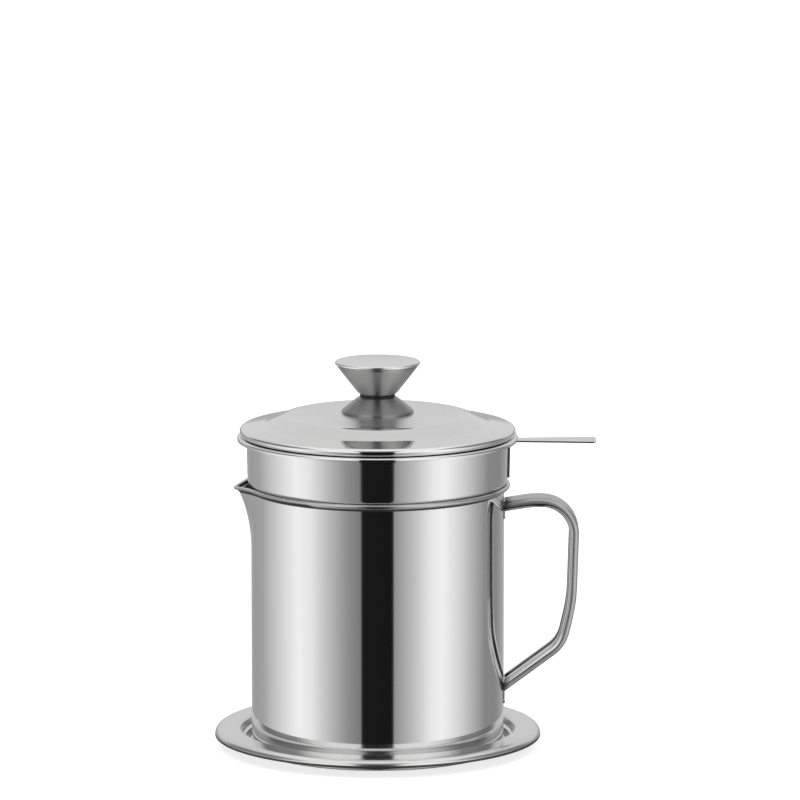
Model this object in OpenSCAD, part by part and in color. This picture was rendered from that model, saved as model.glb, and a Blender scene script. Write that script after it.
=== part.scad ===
// Stainless steel oil dispenser: a spouted pot on a drip tray, with a lift-out strainer and a knobbed lid.
// Every sheet metal piece is drawn as the middle line of its sheet and bent with real radii.
// The origin is the centre of the tray's underside. The spout points along -X and both handles along +X.

/* [Sheet metal] */
// Thickness of the pot, strainer, lid and tray sheet
sheet = 0.6; // [0.5:0.1:0.7]
// Thickness of the strap that the pot handle is folded from
strap_sheet = 0.8; // [0.7:0.1:1]

/* [Pot] */
// Outside diameter of the pot wall
pot_d = 130; // [120:1:140]
// Height of the pot from its foot to the top of the rolled rim
pot_h = 136.5; // [120:0.5:170]
// Height of the rolled bead at the rim
bead_h = 2.5; // [2.2:0.1:3]
// How far the rim flares out under the bead
rim_flare = 1.15; // [0.8:0.05:1.4]
// Radius where the wall turns into the base
pot_corner = 6; // [4:0.1:7]
// How far the middle of the base is raised over the foot ring
base_rise = 1.5; // [1:0.1:2]

/* [Spout] */
// How far the spout draws the wall out at the rim
spout_draw = 6.3; // [4:0.1:8]
// How far down the wall the spout runs
spout_depth = 32; // [24:1:40]
// Radius of the spout's tip in plan
spout_tip = 6.5; // [5:0.5:9]
// How far the lip dips at the tip
spout_dip = 2.1; // [1:0.1:3]
// Half angle over which the bead is pressed flat beside the spout
flat_half_angle = 62; // [61:1:66]
// Height of the bead where it is pressed flat
flat_bead_h = 1.7; // [1.5:0.1:2]

/* [Pot handle] */
// Width of the folded strap
strap_w = 18; // [15:0.5:21]
// Depth of the folded strap
strap_depth = 5; // [4.6:0.1:5.6]
// Slot between the two folded edges
strap_slot = 7; // [5:0.5:9]
// How far the handle stands out from the wall
handle_reach = 39; // [34:0.5:44]
// Height of the handle's upper end
handle_top = 127.4; // [112:0.2:128]
// Height of the handle's lower end
handle_foot = 27.9; // [24:0.2:34]

/* [Strainer] */
// Height of the strainer bowl
strainer_h = 33.4; // [30:0.2:38]
// Height of the shoulder that sits on the pot's rim
shoulder_z = 6.1; // [5.8:0.1:8]
// How far the rim stands out from the wall
strainer_rim_w = 4.7; // [4.3:0.1:5.2]
// Height of the rim's turned-down edge
strainer_rim_h = 2.2; // [1.9:0.1:2.6]
// Radius of the opening that the mesh covers
mesh_open_r = 56; // [50:0.5:57]
// Distance between the wires of the mesh
mesh_pitch = 4.8; // [4.6:0.1:5]
// Width of the wires of the mesh
wire_w = 1.2; // [1.1:0.1:1.6]

/* [Strainer handle] */
// Thickness of the handle strip
strip_t = 1; // [0.8:0.1:1.2]
// Width of the strip at the rim
strip_w = 8; // [6:0.5:10]
// Width of the strip at its free end
strip_end_w = 15.5; // [12:0.5:20]
// Distance from the bowl's axis to the free end
strip_reach = 112; // [100:1:125]

/* [Lid] */
// Height of the raised middle over the widest line of the rim
lid_rise = 9.1; // [7:0.1:12]
// Radius of the raised middle
lid_crown_r = 47; // [40:1:49]
// Outside radius of the rounded lid edge
lid_edge = 2.1; // [1.8:0.1:2.4]
// Depth of the collar under the widest line of the rim
collar_depth = 11.8; // [9:0.1:14]

/* [Knob] */
// Diameter of the knob's cap
cap_d = 43.6; // [36:0.2:50]
// Diameter of the skirt where it stands on the lid
skirt_d = 37.1; // [32:0.1:40]
// Height of the skirt
skirt_h = 8.1; // [7:0.1:10]
// Thickness of the dark spacer at the waist
spacer_h = 1.4; // [1:0.1:2]
// Height of the knob above the spacer
grip_h = 17.3; // [15:0.1:20]

/* [Tray] */
// Outside diameter of the tray
tray_d = 168; // [160:1:180]
// Height of the tray's rim
tray_h = 9.3; // [8.5:0.1:12]
// Height of the step in the well's wall
tray_step = 4.3; // [3.8:0.1:5]

/* [Hidden] */
$fn = 96;

// Gap kept between round seats of pieces that lift apart
seat_gap = 0.15;

// Pot, measured from its own foot
pot_mid_r = pot_d / 2 - sheet / 2;
pot_in_r = pot_d / 2 - sheet;
bead_r = bead_h / 2 - sheet / 2;
bead_inner = pot_mid_r + rim_flare;
bead_centre = [bead_inner + bead_r, pot_h - bead_h / 2];
foot_r = pot_mid_r - 15.2;
pot_z = sheet;

// Pot handle: the outer line of the strap, each corner with its bend radius
handle_x = pot_d / 2 + handle_reach;
handle_line = [
    [pot_d / 2 - 2, handle_top - 0.35, 0],
    [pot_d / 2 + 14.5, handle_top + 2.2, 40],
    [handle_x, handle_top + 1.7, 19],
    [handle_x - 1.7, 74.5, 80],
    [handle_x - 7, handle_foot + 23.8, 20],
    [pot_d / 2 - 2, handle_foot - 1.5, 0]
];

// Weld plates: thickness, width, corner radius, and the heights that each spans
weld_t = 0.8;
weld_w = 14;
weld_corner = 3;
upper_plate_z = [handle_top - 9.4, handle_top - 0.3];
lower_plate_z = [handle_foot - 6.5, handle_foot + 6.6];

// Strainer, measured from its own underside
low_gap = 0.6;
low_mid_r = pot_in_r - low_gap - sheet / 2;
low_corner = min(5, shoulder_z - 1.1);
wall_mid_r = low_mid_r + 3.5;
shoulder_top = shoulder_z + 3.9;
wall_taper = 0.5;
rim_mid_r = wall_mid_r + strainer_rim_w;
rim_bend = strainer_rim_h / 2;
bowl_line = [
    [mesh_open_r, sheet / 2, 0],
    [low_mid_r, sheet / 2, low_corner],
    [low_mid_r, shoulder_z, 2],
    [wall_mid_r - wall_taper, shoulder_top, 2.5],
    [wall_mid_r, strainer_h - sheet / 2, 1.2],
    [rim_mid_r, strainer_h - sheet / 2, rim_bend],
    [rim_mid_r, strainer_h - strainer_rim_h, 0]
];

// The shoulder's straight part rests on the pot's bead: its height over the pot comes from that touch
shoulder_run = [wall_mid_r - wall_taper - low_mid_r, shoulder_top - shoulder_z];
shoulder_out = [shoulder_run[1], -shoulder_run[0]] / norm(shoulder_run);
seat_reach = bead_h / 2 + sheet / 2 + seat_gap;
bead_over_shoulder = ((bead_centre[0] - low_mid_r) * shoulder_out[0] - seat_reach) / -shoulder_out[1];
strainer_z = pot_z + bead_centre[1] - shoulder_z - bead_over_shoulder;

// Strainer handle: it lies against the wall up to the rim, then turns under the rim and runs out flat
wall_top_z = strainer_h - sheet / 2;
function wall_r_at(z) = wall_mid_r - wall_taper * (wall_top_z - z) / (wall_top_z - shoulder_top);
strip_mid = (strip_t + sheet) / 2;
strip_z = strainer_h - strainer_rim_h - strip_t / 2;
strip_foot = shoulder_top + 1.8;
strip_under_rim = 3.4;
strip_line = [
    [wall_r_at(strip_foot) + strip_mid, strip_foot, 0],
    [wall_r_at(strip_z) + strip_mid, strip_z, 1],
    [wall_mid_r + strip_mid + strip_under_rim, strip_z, 0]
];

// Lid, measured from the widest line of its rim
rim_beyond_lid = 0.95;
lid_rim_r = rim_mid_r - rim_beyond_lid;
edge_bend = lid_edge - sheet / 2;
edge_mid_r = lid_rim_r - sheet / 2;
edge_centre_r = lid_rim_r - lid_edge;
screw_bore_r = 2.75;
crown_flat_r = 24;
ring_in = [lid_crown_r + 10.5, 3.9];
ring_out = [edge_mid_r, 1.55];
cover_line = [
    [screw_bore_r, lid_rise, 0],
    [crown_flat_r, lid_rise, 60],
    [lid_crown_r, lid_rise - 0.8, 12],
    [ring_in[0], ring_in[1], 8],
    [ring_out[0], ring_out[1], edge_bend],
    [edge_mid_r, -edge_bend, edge_bend],
    [edge_centre_r - 0.9, -edge_bend, 0]
];
ring_slope = (ring_in[1] - ring_out[1]) / (ring_out[0] - ring_in[0]);
collar_r = wall_mid_r - sheet / 2 - 1.3;
collar_inner = ring_in[0] + 3.2;
function under_ring(r) = ring_in[1] - (r - ring_in[0]) * ring_slope - sheet / cos(atan(ring_slope));
collar_line = [
    [collar_inner, under_ring(collar_inner), 0],
    [collar_r, under_ring(collar_r), 1],
    [collar_r, -(collar_depth - 4.1), 0.4],
    [collar_r - 0.5, -(collar_depth - 3.6), 0.35],
    [collar_r + 0.45, -(collar_depth - 3), 0.4],
    [collar_r + 0.45, -(collar_depth - sheet / 2), 0.8],
    [collar_r - 1, -(collar_depth - sheet / 2), 0]
];
// The rounded lid edge rests on the flat of the strainer's rim
lid_z = strainer_z + strainer_h + lid_edge + seat_gap;

// Knob, measured from the flat middle of the lid
knob_z = lid_z + lid_rise + sheet / 2;
knob_sheet = 0.8;
waist_r = 9.3;
waist_z = skirt_h + spacer_h;
cap_r = cap_d / 2;
cap_t = 1.6;
grip_top = waist_z + grip_h - cap_t;
skirt_edge = skirt_d / 2 - knob_sheet / 2;
skirt_line = [
    [screw_bore_r, skirt_h - knob_sheet / 2, 0],
    [waist_r + 0.6, skirt_h - knob_sheet / 2, 1],
    [skirt_edge, 0.9, 1],
    [skirt_edge, 0, 0]
];
grip_line = [
    [screw_bore_r, waist_z + knob_sheet / 2, 0],
    [waist_r - 0.1, waist_z + knob_sheet / 2, 4],
    [cap_r - 1.05, grip_top - knob_sheet / 2, 0.5],
    [cap_r - 3.2, grip_top - knob_sheet / 2, 0]
];

// Screw through the lid into the bush inside the grip
screw_r = 2.5;
screw_reach = 7;
washer_r = 6;
washer_t = 1;
head_r = 4.6;
head_h = 2.4;
head_dome = (head_r * head_r + head_h * head_h) / (2 * head_h);
slot_w = 0.9;
slot_depth = 1.4;
insert_r = 5;
insert_h = 9;

// Tray
tray_r = tray_d / 2;
well_r = pot_d / 2 + 2;
ring_bead_r = 39.6;
tray_line = [
    [0, sheet / 2, 0],
    [ring_bead_r - 2.6, sheet / 2, 2],
    [ring_bead_r - 1, sheet / 2 + 0.5, 1.5],
    [ring_bead_r + 1, sheet / 2 + 0.5, 1.5],
    [ring_bead_r + 2.6, sheet / 2, 2],
    [well_r, sheet / 2, 2],
    [well_r + 1.3, tray_step, 0.8],
    [well_r + 2.6, tray_step + 0.6, 0.8],
    [well_r + 4, tray_h, 1.8],
    [tray_r - sheet / 2, tray_h - 0.4, 3.3],
    [tray_r - sheet / 2, tray_h - 4, 0]
];

// Bent sheet: a line of corners [x, y, bend radius] becomes the outline of a sheet with round bends

bend_step = 9;

function xy(p) = [p[0], p[1]];
function unit(v) = v / norm(v);
function left_of(v) = [-v[1], v[0]];
function turned(v, a) = [v[0] * cos(a) - v[1] * sin(a), v[0] * sin(a) + v[1] * cos(a)];
// Direction of the leg that ends at corner i
function leg(line, i) = unit(xy(line[i]) - xy(line[i - 1]));
// Signed angle that the line turns through at corner i
function turn(line, i) =
    let (u = leg(line, i), w = leg(line, i + 1)) atan2(u[0] * w[1] - u[1] * w[0], u * w);
// The line's own path with every corner stepped round: [x, y, direction x, direction y]
function stepped(line) = [
    for (i = [0 : len(line) - 1])
        if (i == 0 || i == len(line) - 1) concat(xy(line[i]), leg(line, max(1, i)))
        else each
            let (
                u = leg(line, i),
                sweep = turn(line, i),
                start = xy(line[i]) - u * line[i][2] * tan(abs(sweep) / 2),
                spoke = -left_of(u) * sign(sweep) * line[i][2],
                steps = max(2, ceil(abs(sweep) / bend_step))
            )
            [for (k = [0 : steps])
                let (a = sweep * k / steps) concat(start - spoke + turned(spoke, a), turned(u, a))]
];
// Steps of the path without the repeats where one bend runs straight into the next
function path_of(line) =
    let (all = stepped(line))
    [for (i = [0 : len(all) - 1]) if (i == 0 || norm(xy(all[i]) - xy(all[i - 1])) > 0.01) all[i]];
// Out along one face of the sheet and back along the other
function sheet_outline(line, thickness) =
    let (path = path_of(line), half = thickness / 2, last = len(path) - 1)
    concat(
        [for (p = path) xy(p) + left_of([p[2], p[3]]) * half],
        [for (i = [last : -1 : 0]) xy(path[i]) - left_of([path[i][2], path[i][3]]) * half]
    );

module spun_sheet(line, thickness) {
    rotate_extrude() polygon(sheet_outline(line, thickness));
}

// Solid skin over a row of outlines, each of them a sheet's edge-on outline with the same number of points
module skin(rows) {
    n = len(rows[0]);
    m = len(rows);
    sides = [
        for (i = [0 : m - 2]) for (j = [0 : n - 1])
            let (a = i * n + j, b = i * n + (j + 1) % n)
            each [[a, b, a + n], [b, b + n, a + n]]
    ];
    ends = [
        for (i = [0, m - 1]) for (j = [0 : n / 2 - 2])
            let (a = i * n + j, b = a + 1, c = i * n + n - 2 - j, d = c + 1)
            each (i == 0 ? [[a, d, b], [b, d, c]] : [[a, b, d], [b, c, d]])
    ];
    polyhedron([for (row = rows) each row], concat(sides, ends));
}

// Pot: one drawn shell with a rolled bead, and a spout pressed out of its rim

spout_cut = spout_depth + 2;
// Depth under the rim where the spout's dip has run out
dip_depth = 20;
flare_h = 2.5;
// Half width of the pressed bead, and how much narrower it is at the tip
flat_half_w = 1.05;
tip_pinch = 0.3;
tip_half_angle = 26;
// Angle over which the bead goes from round to pressed
press_run = 4;

pot_line = [
    [0, base_rise + sheet / 2, 0],
    [foot_r - 3.2, base_rise + sheet / 2, 3],
    [foot_r, sheet / 2, 3],
    [pot_mid_r, sheet / 2, pot_corner],
    [pot_mid_r, pot_h - bead_h - flare_h, 4],
    [bead_inner, pot_h - bead_h - 0.1, 2],
    [bead_inner, pot_h - sheet / 2, bead_r],
    [bead_inner + 2 * bead_r, pot_h - sheet / 2, bead_r],
    [bead_inner + 2 * bead_r, pot_h - bead_h + sheet / 2, bead_r],
    [bead_inner + bead_r - 0.3, pot_h - bead_h + sheet / 2, 0]
];

// Steps of the wall's flare under the bead, as distances out from the wall and down from the rim
flare = [[0, 5.9], [0.1, 5.05], [0.39, 4.18], [0.95, 3.01], [1.1, 2.56], [1.15, 2.1]];
flare_end = flare[len(flare) - 1][0];

// How far the wall's keel line is drawn out at a depth below the rim
function keel(depth) = spout_draw * pow(max(0, 1 - max(0, depth - 3) / spout_depth), 2);
// Middle radius of the wall at an angle from the spout's tip: a small round, two flats and the wall's circle
function drawn_r(angle, draw) =
    let (
        far = pot_mid_r + draw - spout_tip,
        flat_end = acos((pot_mid_r - spout_tip) / far),
        round_end = atan2(spout_tip * sin(flat_end), far + spout_tip * cos(flat_end)),
        a = abs(angle)
    )
    a < round_end ? far * cos(a) + sqrt(pow(spout_tip, 2) - pow(far * sin(a), 2))
    : a < flat_end ? pot_mid_r / cos(flat_end - a)
    : pot_mid_r;
function smooth(x) = let (t = min(1, max(0, x))) t * t * (3 - 2 * t);

// Sheet line of the rim at an angle from the tip, from the wall up and round the bead
function rim_section(angle) =
    let (
        flat = smooth((flat_half_angle - abs(angle)) / press_run),
        at_tip = smooth(1 - abs(angle) / tip_half_angle),
        height = bead_h * (1 - flat) + flat_bead_h * flat,
        half_w = bead_r * (1 - flat) + (flat_half_w - tip_pinch * at_tip) * flat,
        half_h = height / 2 - sheet / 2,
        dip = spout_dip * (drawn_r(angle, spout_draw) - pot_mid_r) / spout_draw,
        wall_top = flare[0][1] + 0.6,
        wall_depths = [for (k = [0 : 8]) wall_top + (spout_cut + 1 - wall_top) * pow(1 - k / 8, 1.25)]
    )
    concat(
        [for (d = wall_depths) [drawn_r(angle, keel(d)), pot_h - d - dip * pow(max(0, 1 - d / dip_depth), 2)]],
        [for (f = flare) [
            drawn_r(angle, keel(f[1])) + f[0] * rim_flare / flare_end,
            pot_h - f[1] - dip * pow(1 - f[1] / dip_depth, 2)
        ]],
        [for (k = [0 : 9]) let (a = 180 - 30 * k) [
            drawn_r(angle, keel(1)) + rim_flare + half_w + half_w * cos(a),
            pot_h - height / 2 - dip + half_h * sin(a)
        ]]
    );

// The outline of a stepped line of points, with the sheet's thickness on both sides
function thick_outline(line, thickness) =
    let (
        last = len(line) - 1,
        sides = [for (i = [0 : last]) left_of(unit(line[min(last, i + 1)] - line[max(0, i - 1)])) * thickness / 2]
    )
    concat(
        [for (i = [0 : last]) line[i] + sides[i]],
        [for (i = [last : -1 : 0]) line[i] - sides[i]]
    );

// Angles of the spout's rows: close at both edges and over the tip, wider apart between them
edge_steps = [0.8, 0, -1.3, -2.6];
spout_angles = concat(
    [for (e = edge_steps) -flat_half_angle - e],
    [for (a = [-58 : 4 : -34]) a],
    [for (a = [-28 : 2 : 28]) a],
    [for (a = [34 : 4 : 58]) a],
    [for (k = [len(edge_steps) - 1 : -1 : 0]) flat_half_angle + edge_steps[k]]
);

module spout_sector() {
    skin([
        for (a = spout_angles)
            [for (p = thick_outline(rim_section(a), sheet - 0.1)) [-p[0] * cos(a), p[0] * sin(a), p[1]]]
    ]);
}

// The wedge that the spout takes the place of reaches well past the rim
wedge_reach = 100;

module spout_wedge() {
    translate([0, 0, pot_h - spout_cut])
        linear_extrude(spout_cut + 1)
            polygon(concat([[0, 0]], [
                for (k = [-2 : 2]) let (a = flat_half_angle * k / 2) [-wedge_reach * cos(a), wedge_reach * sin(a)]
            ]));
}

module pot_body() {
    color("gainsboro")
        translate([0, 0, pot_z]) {
            difference() {
                spun_sheet(pot_line, sheet);
                spout_wedge();
            }
            spout_sector();
        }
}

// Pot handle: a strap with both edges folded in, bent to a loop and welded to the wall on two plates

strap_mid = strap_sheet / 2;
strap_fold = strap_depth / 2 - strap_mid;
strap_section_line = [
    [strap_slot / 2, strap_depth - strap_mid, 0],
    [strap_w / 2 - strap_mid, strap_depth - strap_mid, strap_fold],
    [strap_w / 2 - strap_mid, strap_mid, strap_fold],
    [-strap_w / 2 + strap_mid, strap_mid, strap_fold],
    [-strap_w / 2 + strap_mid, strap_depth - strap_mid, strap_fold],
    [-strap_slot / 2, strap_depth - strap_mid, 0]
];

// The section stands square to the loop at every step: its depth goes to the inside of the loop
module folded_strap(line) {
    section = sheet_outline(strap_section_line, strap_sheet);
    skin([
        for (p = path_of(line))
            [for (q = section) [p[0] + q[1] * p[3], q[0], p[1] - q[1] * p[2]]]
    ]);
}

module pot_handle() {
    color("silver")
        translate([0, 0, pot_z])
            difference() {
                folded_strap(handle_line);
                cylinder(h = pot_h, r = pot_d / 2 + weld_t);
            }
}

// Rounded plate bent to the wall's curve, spot welded to it and to the end of the strap
module weld_plate(span) {
    low = span[0];
    h = span[1] - span[0];
    translate([0, 0, pot_z])
        intersection() {
            translate([0, 0, low])
                difference() {
                    cylinder(h = h, r = pot_d / 2 + weld_t);
                    translate([0, 0, -1]) cylinder(h = h + 2, r = pot_d / 2);
                }
            translate([pot_d / 2 - 8, 0, low + h / 2])
                rotate([90, 0, 90])
                    linear_extrude(12)
                        union() {
                            square([weld_w, h - 2 * weld_corner], center = true);
                            square([weld_w - 2 * weld_corner, h], center = true);
                            for (x = [-1, 1], y = [-1, 1])
                                translate([x * (weld_w / 2 - weld_corner), y * (h / 2 - weld_corner)])
                                    circle(weld_corner);
                        }
        }
}

module upper_plate() {
    color("silver") weld_plate(upper_plate_z);
}

module lower_plate() {
    color("silver") weld_plate(lower_plate_z);
}

// Strainer: a stepped bowl with a turned-out rim, its mesh held down by a flat ring

module strainer_bowl() {
    color("gainsboro")
        translate([0, 0, strainer_z]) spun_sheet(bowl_line, sheet);
}

mesh_r = low_mid_r - 5;
mesh_t = 0.6;

module strainer_mesh() {
    count = floor(mesh_open_r / mesh_pitch);
    color("darkgray")
        translate([0, 0, strainer_z + sheet])
            linear_extrude(mesh_t)
                union() {
                    difference() {
                        circle(mesh_r);
                        circle(mesh_open_r - 0.6);
                    }
                    intersection() {
                        circle(mesh_open_r);
                        rotate(45) union() {
                            for (k = [-count : count]) {
                                translate([k * mesh_pitch, 0]) square([wire_w, 2 * mesh_r], center = true);
                                translate([0, k * mesh_pitch]) square([2 * mesh_r, wire_w], center = true);
                            }
                        }
                    }
                }
}

module mesh_ring() {
    color("silver")
        translate([0, 0, strainer_z + sheet + mesh_t])
            difference() {
                cylinder(h = sheet, r = mesh_r + 0.4);
                translate([0, 0, -1]) cylinder(h = sheet + 2, r = mesh_open_r - 0.4);
            }
}

module strainer_handle() {
    half = asin(strip_w / 2 / strip_line[1][0]);
    root = strip_line[2][0] - 0.8;
    corner = 1.5;
    color("silver")
        translate([0, 0, strainer_z]) {
            rotate([0, 0, -half])
                rotate_extrude(angle = 2 * half) polygon(sheet_outline(strip_line, strip_t));
            translate([0, 0, strip_z - strip_t / 2])
                linear_extrude(strip_t)
                    union() {
                        polygon([
                            [root, -strip_w / 2 + 0.1], [root, strip_w / 2 - 0.1],
                            [strip_reach - corner, strip_end_w / 2], [strip_reach - corner, -strip_end_w / 2]
                        ]);
                        translate([strip_reach - 2 * corner, -strip_end_w / 2 + corner])
                            square([2 * corner, strip_end_w - 2 * corner]);
                        for (y = [-1, 1])
                            translate([strip_reach - corner, y * (strip_end_w / 2 - corner)]) circle(corner);
                    }
        }
}

// Lid: a pressed cover with a rolled edge, and a collar welded under it

module lid_cover() {
    color("gainsboro")
        translate([0, 0, lid_z]) spun_sheet(cover_line, sheet);
}

module lid_collar() {
    color("silver")
        translate([0, 0, lid_z]) spun_sheet(collar_line, sheet);
}

// Knob: skirt, spacer, grip and cap, held by a screw from inside the lid

module knob_skirt() {
    color("dimgray")
        translate([0, 0, knob_z])
            spun_sheet(skirt_line, knob_sheet);
}

module knob_spacer() {
    color("black")
        translate([0, 0, knob_z + skirt_h])
            difference() {
                cylinder(h = spacer_h, r = waist_r - 0.3);
                translate([0, 0, -1]) cylinder(h = spacer_h + 2, r = screw_bore_r);
            }
}

module knob_grip() {
    color("dimgray")
        translate([0, 0, knob_z]) spun_sheet(grip_line, knob_sheet);
}

module knob_cap() {
    edge = cap_t / 2;
    color("silver")
        translate([0, 0, knob_z + grip_top])
            rotate_extrude()
                union() {
                    square([cap_r - edge, cap_t]);
                    square([cap_r, cap_t / 2]);
                    translate([cap_r - edge, cap_t / 2]) circle(edge);
                }
}

module knob_insert() {
    color("darkgray")
        translate([0, 0, knob_z + waist_z + knob_sheet])
            difference() {
                cylinder(h = insert_h, r = insert_r);
                translate([0, 0, -1]) cylinder(h = insert_h, r = screw_r);
            }
}

// Pan head with a cross slot, its underside against the washer
module screw_head() {
    difference() {
        rotate_extrude()
            intersection() {
                translate([0, head_dome - head_h]) circle(head_dome);
                translate([0, -head_h]) square([head_r, head_h]);
            }
        for (a = [0, 90])
            rotate(a)
                translate([-head_r, -slot_w / 2, -head_h - 1])
                    cube([2 * head_r, slot_w, slot_depth + 1]);
    }
}

module knob_screw() {
    color("lightgray")
        translate([0, 0, knob_z - sheet - washer_t])
            union() {
                cylinder(h = washer_t + sheet + waist_z + knob_sheet + screw_reach, r = screw_r);
                screw_head();
            }
}

module screw_washer() {
    color("lightgray")
        translate([0, 0, knob_z - sheet - washer_t])
            difference() {
                cylinder(h = washer_t, r = washer_r);
                translate([0, 0, -1]) cylinder(h = washer_t + 2, r = screw_bore_r);
            }
}

module tray() {
    color("lightgray") spun_sheet(tray_line, sheet);
}

tray();
pot_body();
pot_handle();
upper_plate();
lower_plate();
strainer_bowl();
strainer_mesh();
mesh_ring();
strainer_handle();
lid_cover();
lid_collar();
knob_skirt();
knob_spacer();
knob_grip();
knob_cap();
knob_insert();
knob_screw();
screw_washer();
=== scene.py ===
"""A stainless steel oil dispenser: a spouted pot on its drip tray, a lift-out strainer and a knobbed lid."""

import math

import bmesh
import bpy
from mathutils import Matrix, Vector


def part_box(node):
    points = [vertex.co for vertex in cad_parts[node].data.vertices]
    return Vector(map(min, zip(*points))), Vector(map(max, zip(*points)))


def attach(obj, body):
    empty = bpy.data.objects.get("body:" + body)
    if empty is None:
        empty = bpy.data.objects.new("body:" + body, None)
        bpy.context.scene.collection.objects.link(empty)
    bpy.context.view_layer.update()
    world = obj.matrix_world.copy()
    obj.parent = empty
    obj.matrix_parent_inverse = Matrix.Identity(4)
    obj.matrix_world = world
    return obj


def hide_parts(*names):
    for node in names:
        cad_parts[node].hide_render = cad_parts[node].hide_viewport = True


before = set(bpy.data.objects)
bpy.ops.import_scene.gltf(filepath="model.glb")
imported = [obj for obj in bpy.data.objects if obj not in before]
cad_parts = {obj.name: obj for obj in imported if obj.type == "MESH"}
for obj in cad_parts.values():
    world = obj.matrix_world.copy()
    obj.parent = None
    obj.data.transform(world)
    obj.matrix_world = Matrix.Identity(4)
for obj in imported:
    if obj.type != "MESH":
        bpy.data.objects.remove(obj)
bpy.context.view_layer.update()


# Camera: level with the photograph's view of the pot and tray, and far enough off for the whole set to show
# when every piece is lifted to its limit. On the picture the pot's wall is as wide as in the photograph.
POT_WIDTH_PX = 253.7
PICTURE_PX = 800
CAMERA_DISTANCE = 3.2
CAMERA_TILT = math.radians(9.3)
VIEW_CENTRE = Vector((0.0115, 0, 0.1797))

pot_wall_r = 0.065
seen_width = 2 * pot_wall_r * PICTURE_PX / POT_WIDTH_PX
camera_data = bpy.data.cameras.new("camera")
camera_data.lens = camera_data.sensor_width * CAMERA_DISTANCE / seen_width
camera = bpy.data.objects.new("camera", camera_data)
bpy.context.scene.collection.objects.link(camera)
camera.location = VIEW_CENTRE + CAMERA_DISTANCE * Vector((0, -math.cos(CAMERA_TILT), math.sin(CAMERA_TILT)))
camera.rotation_euler = (math.pi / 2 - CAMERA_TILT, 0, 0)
bpy.context.scene.camera = camera
bpy.context.scene.view_settings.view_transform = "Standard"


# Studio: tall soft panels stand round the set, two bright ones at the sides and a narrow black one in front,
# which polished steel shows as its dark stripe. A pale ceiling with dark edges lights the lid and the tray.
# The floor and everything beyond it are white.
class Wire:
    """A socket of a shader tree. Arithmetic on wires adds the Math nodes that it stands for."""

    def __init__(self, tree, socket=None):
        self.tree = tree
        self.socket = socket

    def node(self, kind, settings=None, inputs=None, output=0):
        """Adds a node, sets it up, fills its sockets and returns a wire from one of its outputs."""
        made = self.tree.nodes.new(kind)
        for name, value in (settings or {}).items():
            if name == "stops":
                ramp = made.color_ramp
                while len(ramp.elements) < len(value):
                    ramp.elements.new(0.5)
                for element, (place, tone) in zip(ramp.elements, value):
                    element.position = place
                    element.color = (tone, tone, tone, 1)
            else:
                setattr(made, name, value)
        for name, value in (inputs or {}).items():
            if isinstance(value, Wire):
                self.tree.links.new(value.socket, made.inputs[name])
            else:
                made.inputs[name].default_value = value
        return Wire(self.tree, made.outputs[output] if made.outputs else None)

    def math(self, operation, *values):
        return self.node("ShaderNodeMath", {"operation": operation}, dict(enumerate(values)))

    def __add__(self, other):
        return self.math("ADD", self, other)

    def __sub__(self, other):
        return self.math("SUBTRACT", self, other)

    def __rsub__(self, other):
        return self.math("SUBTRACT", other, self)

    def __mul__(self, other):
        return self.math("MULTIPLY", self, other)

    def __truediv__(self, other):
        return self.math("DIVIDE", self, other)

    def __abs__(self):
        return self.math("ABSOLUTE", self)

    __radd__ = __add__
    __rmul__ = __mul__


# Brightness of the panels by their direction round the set, in degrees from the front, left side negative:
# up to eye level, and above it
PANELS = [
    (-180, 0.46), (-150, 0.37), (-129, 0.43), (-108, 0.68), (-91, 0.9), (-77, 1.08), (-63, 0.97), (-45, 0.61),
    (-28, 0.34), (-14.6, 0.23), (-14, 0.012), (14, 0.01), (14.6, 0.33), (32, 0.61), (50, 0.99), (61, 1.09),
    (75, 0.9), (97, 0.54), (116, 0.29), (138, 0.28), (162, 0.44), (180, 0.46),
]
UPPER_PANELS = [
    (-180, 0.42), (-120, 0.3), (-80, 0.3), (-62, 0.85), (-40, 1.1), (-14.6, 1.0), (-14, 0.012), (14, 0.01),
    (14.6, 1.05), (45, 1.15), (66, 0.85), (84, 0.3), (130, 0.3), (180, 0.42),
]
BRIGHTEST = 1.2
BACKDROP_TONE = 0.72
CEILING_TONE = 1.0
# A dark board over the black panel and dark flags at the ceiling's two sides
HEADBOARD_TONE = 0.16
FLAG_TONE = 0.25
FLOOR_TONE = 0.55

world = bpy.data.worlds.new("studio")
bpy.context.scene.world = world
world.use_nodes = True
world.node_tree.nodes.clear()
studio = Wire(world.node_tree)
ray = studio.node("ShaderNodeTexCoord", output="Generated")
x = ray.node("ShaderNodeSeparateXYZ", inputs={"Vector": ray}, output="X")
y = ray.node("ShaderNodeSeparateXYZ", inputs={"Vector": ray}, output="Y")
height = ray.node("ShaderNodeSeparateXYZ", inputs={"Vector": ray}, output="Z")
turn = studio.math("ARCTAN2", x, y * -1) / (2 * math.pi) + 0.5
low_panels, high_panels = (
    studio.node(
        "ShaderNodeValToRGB",
        {"stops": [((degrees + 180) / 360, tone / BRIGHTEST) for degrees, tone in row]},
        {"Fac": turn},
    )
    for row in (PANELS, UPPER_PANELS)
)
rise = studio.node(
    "ShaderNodeMapRange",
    {"interpolation_type": "SMOOTHSTEP"},
    {"Value": height, "From Min": 0.02, "From Max": 0.14},
)
panels = low_panels * (1 - rise) + high_panels * rise
panel_top = studio.node(
    "ShaderNodeMapRange",
    {"interpolation_type": "SMOOTHSTEP"},
    {"Value": y, "From Min": -0.7, "From Max": 0.5, "To Min": 0.42, "To Max": 0.02},
)
over_panels = studio.node(
    "ShaderNodeMapRange",
    {"interpolation_type": "SMOOTHSTEP"},
    {"Value": height, "From Min": panel_top, "From Max": panel_top + 0.12},
)
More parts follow.
